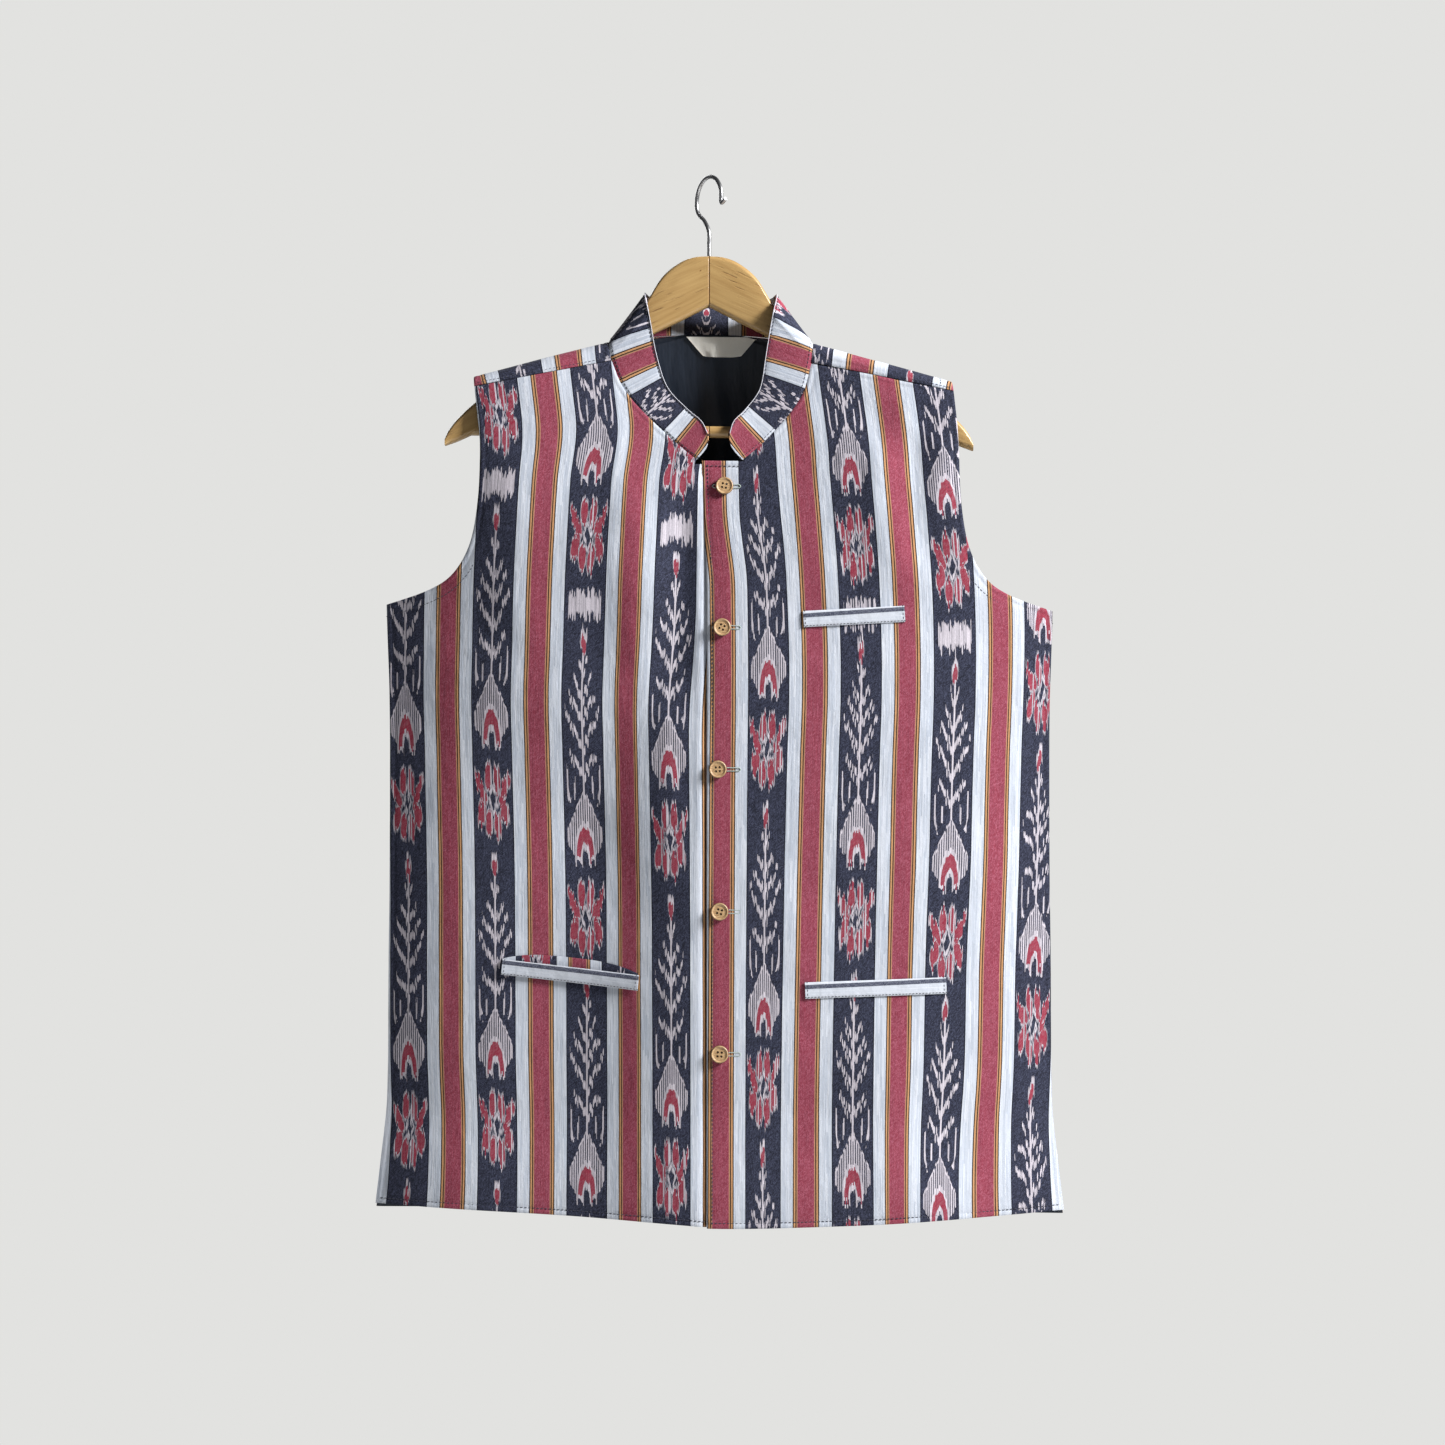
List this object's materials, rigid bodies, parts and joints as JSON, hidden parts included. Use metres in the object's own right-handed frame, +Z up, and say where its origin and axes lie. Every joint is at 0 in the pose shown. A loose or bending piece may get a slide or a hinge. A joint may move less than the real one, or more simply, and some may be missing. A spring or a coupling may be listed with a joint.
{
  "type": "nehru jacket on a wooden clothes hanger",
  "caption": "Sleeveless hip-length jacket with a standing band collar, button front and welt pockets, hanging on a contoured wooden hanger by its wire hook.",
  "frame": {"origin": "the inside of the top of the hanger's hook, where it bears on the rail", "axes": "+Z up, the jacket's front faces -Y, +X is the wearer's left side"},
  "size_m": [0.5814, 0.1051, 0.8871],
  "materials": {
    "stripe_cloth": "hand-woven warp-striped cotton with tied and dyed bands in indigo, pale blue, red and ochre",
    "pale_cloth": "plain pale blue-grey woven cotton",
    "lining": "dark navy satin with a soft sheen",
    "label": "off-white woven tape, blank",
    "button_wood": "turned wood, satin, with a darker rim",
    "hanger_wood": "pale varnished pine",
    "hook_steel": "bright plated steel wire"
  },
  "bodies": {
    "root": {"back_panel": "stripe_cloth", "front_left": "stripe_cloth", "front_right": "stripe_cloth", "collar": "stripe_cloth", "pocket_facing_right": "stripe_cloth", "chest_welt": "pale_cloth", "pocket_welt_left": "pale_cloth", "pocket_welt_right": "pale_cloth", "back_lining": "lining", "neck_label": "label", "button_1": "button_wood", "button_2": "button_wood", "button_3": "button_wood", "button_4": "button_wood", "button_5": "button_wood", "hanger_arm_left": "hanger_wood", "hanger_arm_right": "hanger_wood", "hanger_bar": "hanger_wood", "hanger_hook": "hook_steel"}
  },
  "joints": []
}
